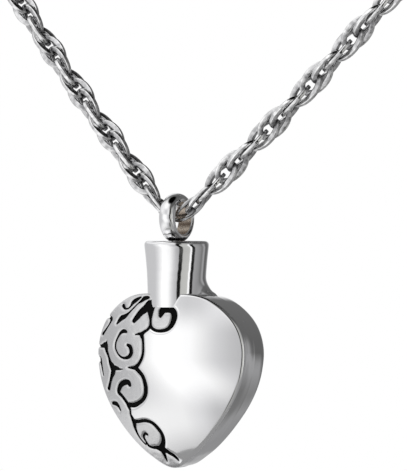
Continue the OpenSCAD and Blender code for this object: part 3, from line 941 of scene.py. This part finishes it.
# The painted shade and dark reflection at the ring's foot reach this far over the ring's lowest
# point, and the painted reflection inside the ring this far from the hole.
FOOT_SHADE_TOP, REFLECTION_REACH = 0.6, 0.02
# Half widths of the band and of its flat inside, the crown of its outside, and the swell of
# its two sides.
HALF_BAND, FLAT_INSIDE, CROWN, SWELL = BAIL_BAND / 2, 0.8, 0.76, 0.17


def ring_side(bend):
    """A point of the ring's side, from the flat inside outwards: radius and half width."""
    return HOLE_R + SWELL * sine(bend), FLAT_INSIDE + (HALF_BAND - FLAT_INSIDE) * (1 - cosine(bend))


ring_profile = [(HOLE_R, -FLAT_INSIDE), (HOLE_R, FLAT_INSIDE)]
ring_profile += [ring_side(bend) for bend in (20, 45, 70)]
for bend in np.arange(0, 181, 9):
    ring_profile.append((BAIL_R - CROWN * (1 - sine(bend)), HALF_BAND * cosine(bend)))
ring_profile += [(r, -h) for r, h in map(ring_side, (70, 45, 20))]
ring_bm = spun(ring_profile, 112, axis="X")
for face in ring_bm.faces:
    # Faces by the hole get the painted reflection.
    if max(math.hypot(v.co.y, v.co.z) for v in face.verts) < HOLE_R + REFLECTION_REACH:
        face.material_index = 1
    # Faces at the ring's foot get the painted shade and dark reflection.
    if face.calc_center_median().z < FOOT_SHADE_TOP - BAIL_R:
        face.material_index = 2
bmesh.ops.translate(ring_bm, verts=ring_bm.verts, vec=(0, 0, BAIL_Z))
head_z = NECK_TOP - HEAD_T
head_profile = [
    (0, head_z), (HEAD_R - LOWER_BEVEL, head_z), (HEAD_R, head_z + LOWER_BEVEL),
    (HEAD_R, NECK_TOP - BEVEL), (HEAD_R - BEVEL, NECK_TOP), (0, NECK_TOP),
]
head_mesh = mesh_of(spun(head_profile, 96), "head")
PLUG_R, PLUG_LEN, PITCH, THREAD = 1.65, 4.0, 0.5, 0.22
# The thread starts this far down and is full after as much again. The plug's end tapers.
THREAD_FROM, POINT_LEN, POINT_SLOPE = 0.5, 0.35, 0.8
PLUG_ROWS, PLUG_COLUMNS = 72, 40
plug_reach = PLUG_LEN + HEAD_T / 2
plug_bm = bmesh.new()
bmesh.ops.create_grid(plug_bm, x_segments=PLUG_COLUMNS, y_segments=PLUG_ROWS, size=0.5)
for vert in plug_bm.verts:
    turn, down = 2 * math.pi * (vert.co.x + 0.5), (0.5 - vert.co.y) * plug_reach
    z = NECK_TOP - HEAD_T / 2 - down
    wave = 0.5 - 0.5 * math.cos(2 * math.pi * z / PITCH - turn)
    fade = min(max((down - THREAD_FROM) / THREAD_FROM, 0), 1)
    end = max(0.0, down - (plug_reach - POINT_LEN))
    r = PLUG_R - THREAD * wave * fade - end * POINT_SLOPE
    vert.co = (r * math.cos(turn), r * math.sin(turn), z)
bmesh.ops.remove_doubles(plug_bm, verts=plug_bm.verts, dist=1e-4)
bmesh.ops.holes_fill(plug_bm, edges=[e for e in plug_bm.edges if e.is_boundary], sides=0)
bmesh.ops.recalc_face_normals(plug_bm, faces=plug_bm.faces)
bail_steps = [(head_mesh, "UNION"), (mesh_of(plug_bm, "plug"), "UNION")]
bail_finishes = [STEEL, RING_REFLECTION, RING_FOOT_SHADE]
bail_mesh = combined(mesh_of(ring_bm, "ring"), bail_steps, bail_finishes)
bail = keep("bail_ring_and_plug", bail_mesh, bail_finishes, PENDANT_PLACE, sharp=32)

# %% [markdown]
# The necklace is a loose rope chain: oval links of flattened wire in pairs, two nearly side
# by side, then two across them, so that the rope swells and narrows along its way. It hangs
# on a smooth route through a few stations: up from the ring, round the neck and back. The
# two halves are mirrored, so only one is written down.

# %% Chain route
ROUTE = [
    (0, 0, 0), (1.6, 0.1, 0.35), (4.4, 0.7, 3.1), (9, 1.9, 7.8), (13.3, 3, 12.2),
    (21.5, 5.2, 21.2), (30, 7.6, 31), (38.5, 10.5, 41), (46.5, 14.5, 51), (53.5, 20, 61),
    (59.2, 28, 70.5), (63.5, 39, 79), (66.2, 52, 86.5), (67.3, 66, 93), (65.8, 81, 99),
    (61.6, 95.2, 104), (54.4, 108.4, 108), (45, 118.8, 111), (34.5, 126.2, 113),
    (22.5, 131.2, 114.4), (7.15, 133, 115),
]
NAPE_Z = 115.0
PITCH_LINK = 1.72
half_route = np.array(ROUTE, float)
stations = np.concatenate([half_route[:0:-1] * (-1, 1, 1), half_route]) - (0, NAPE_Y, NAPE_Z)
way = smooth_row(stations, per_station=24)
steps = np.linalg.norm(np.diff(way, axis=0), axis=1)
run = np.concatenate([[0], np.cumsum(steps)])


def on_way(distance):
    return np.array([np.interp(distance, run, way[:, k]) for k in range(3)])


print("chain", round(float(run[-1]), 1), "mm long")

# %% [markdown]
# A link is flattened wire bent to a long ring. A bevelled curve could give it too, but a
# four-sided section spun round an axis needs only a few faces, which the Subdivision modifier
# rounds. Creases along the wire keep its sides nearly flat.

# %% One link
LINK_LEN, LINK_WIDE = 4.9, 3.05
WIRE_WIDE, WIRE_THICK = 0.78, 0.52
LINK_STEPS = 12
# Edges whose ends lie further apart round the link, by the sine of the turn, run along the
# wire.
WIRE_CREASE, ALONG_WIRE = 0.45, 0.2
# The modifier draws its mesh in, so the wire starts this much thicker and the link longer.
DRAWN_IN, DRAWN_IN_LONG = 1.28, 1.03


def link_mesh():
    bm = bmesh.new()
    bmesh.ops.create_circle(bm, segments=4, radius=0.5 * DRAWN_IN)
    eighth = Matrix.Rotation(math.pi / 4, 3, "Z")
    bmesh.ops.rotate(bm, verts=bm.verts, cent=(0, 0, 0), matrix=eighth)
    bmesh.ops.scale(bm, verts=bm.verts, vec=(WIRE_WIDE, WIRE_THICK, 1))
    bmesh.ops.translate(bm, verts=bm.verts, vec=(LINK_WIDE / 2 - WIRE_WIDE / 2, 0, 0))
    whole_spin(bm, (0, 1, 0), LINK_STEPS)
    bmesh.ops.remove_doubles(bm, verts=bm.verts, dist=1e-4)
    for vert in bm.verts:
        turn = math.atan2(vert.co.z, vert.co.x)
        vert.co.z += (LINK_LEN - LINK_WIDE) / 2 * math.sin(turn) * DRAWN_IN_LONG
    # A crease along the wire keeps its four sides nearly flat, as flattened wire is.
    crease = bm.edges.layers.float.new("crease_edge")
    for edge in bm.edges:
        a, b = (math.atan2(v.co.z, v.co.x) for v in edge.verts)
        if abs(math.sin(a - b)) > ALONG_WIRE:
            edge[crease] = WIRE_CREASE
    bmesh.ops.recalc_face_normals(bm, faces=bm.faces)
    return mesh_of(bm, "link")


LINK = link_mesh()
print("link", len(LINK.polygons), "faces")

# %% [markdown]
# The links follow the route one by one. The frame of each is carried on from the last, so that
# the rope has no twist of its own, and a short list rolls them. An Array along a Curve would
# bend them, and real links stay whole. Each point of the wire stores how far it lies from the
# rope's middle, which tells the finish where to paint shade: wire deep in the rope is painted
# dark, as if shaded by the links round it, and the outer wire stays bright.

# %% Links along the route
# The links go in pairs: two nearly side by side, then two across them.
ROLLS = (-18, 18, 72, 108)
# In the ring the links are smaller and lie a little higher. Both fade with the distance.
PASS_SCALE, PASS_FROM, PASS_TO = 0.66, 1.8, 6.5
PASS_RAISE, RAISE_REACH = 0.25, 2.5
# The route's direction is read this far before and after a place.
AHEAD = 0.3
# So many links round the bail, with all in the photograph among them, are rounded more finely.
FRONT_LINKS = 52
length = float(run[-1])
middle = length / 2
reach_links = int((middle - LINK_LEN / 2) / PITCH_LINK)


def direction(distance):
    return (Vector(on_way(distance + AHEAD)) - Vector(on_way(distance - AHEAD))).normalized()


def link_places():
    """How far every link is from the bail, along the rope, and its matrix."""
    found = []
    for way_out in (1, -1):
        side = direction(middle).cross(VIEW_BACK)
        for step in range(0 if way_out == 1 else 1, reach_links + 1):
            number = step * way_out
            s = middle + number * PITCH_LINK
            at, ahead = Vector(on_way(s)), direction(s)
            side = (side - side.dot(ahead) * ahead).normalized()
            roll = Matrix.Rotation(math.radians(ROLLS[number % len(ROLLS)]), 4, "Z")
            base = Matrix((side, ahead.cross(side), ahead)).transposed().to_4x4()
            from_bail = abs(s - middle)
            grown = min(max((from_bail - PASS_FROM) / (PASS_TO - PASS_FROM), 0), 1)
            size = PASS_SCALE + (1 - PASS_SCALE) * grown
            at.z += PASS_RAISE * math.exp(-((from_bail / RAISE_REACH) ** 2))
            turned = Matrix.Translation(at) @ base @ roll
            found.append((from_bail, turned @ Matrix.Diagonal((size, size, 1, 1))))
    return found


# Painted shade: wire nearer to the rope's middle than the first is painted dark, and wire
# further out than the second is left bright.
ROPE_SHADE_IN, ROPE_SHADE_OUT = 0.5, 0.95


def chain_piece(name, matrices, levels):
    bm = bmesh.new()
    rope_shade = bm.verts.layers.float.new("rope_shade")
    for matrix in matrices:
        before = len(bm.verts)
        bm.from_mesh(LINK)
        bm.verts.ensure_lookup_table()
        fresh = bm.verts[before:]
        bmesh.ops.transform(bm, matrix=matrix, verts=fresh)
        centre, ahead = matrix.translation, matrix.col[2].xyz
        for vert in fresh:
            away = vert.co - centre
            away -= away.dot(ahead) * ahead
            # Painted shade: the nearer the rope's middle, the darker the wire is painted.
            vert[rope_shade] = min(max((away.length - ROPE_SHADE_IN) / (ROPE_SHADE_OUT - ROPE_SHADE_IN), 0), 1)
    piece = keep(name, mesh_of(bm), [WIRE], Vector((0, 0, 0)), sharp=180)
    rounding = piece.modifiers.new("round wire", "SUBSURF")
    rounding.levels = rounding.render_levels = levels
    return piece


links = link_places()
near_bail = FRONT_LINKS * PITCH_LINK / 2
chain_front = chain_piece("rope_chain_front", [m for d, m in links if d <= near_bail], levels=2)
chain_back = chain_piece(
    "rope_chain_round_the_neck", [m for d, m in links if d > near_bail], levels=1
)
print(len(links), "links,", PITCH_LINK, "mm apart")

# %% [markdown]
# The clasp lies behind the neck, out of the photograph: a plain closed barrel, tapered to the
# ends where the chain enters, as such necklaces have.

# %% Clasp
CLASP_R, CLASP_HALF = 2.1, 7.0
clasp_profile = [
    (0, -CLASP_HALF), (1.35, -CLASP_HALF), (1.47, -CLASP_HALF + 0.08), (2.0, -6.05),
    (2.08, -5.8), (CLASP_R, -5.4), (CLASP_R, -0.12), (CLASP_R - 0.09, -0.04),
]
clasp_profile += [(r, -h) for r, h in reversed(clasp_profile)]
clasp_bm = spun(clasp_profile, 64, axis="X")
clasp = keep("barrel_clasp", mesh_of(clasp_bm), [STEEL], Vector((0, 0, 0)), sharp=32)

# %% [markdown]
# Last, each piece is hung on the body it moves with, and the imported solid it stands for is
# hidden.

# %% Bodies
for piece, body, node, slot in (
    (heart, "urn", "heart_urn", "polished_steel"),
    (scroll_enamel, "urn", "scroll_enamel", "black_enamel"),
    (bail, "bail", "bail_screw", "polished_steel"),
    (chain_front, "necklace", "chain", "chain_steel"),
    (chain_back, "necklace", "chain", "chain_steel"),
    (clasp, "necklace", "clasp", "chain_steel"),
):
    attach(piece, body)
    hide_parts(node)
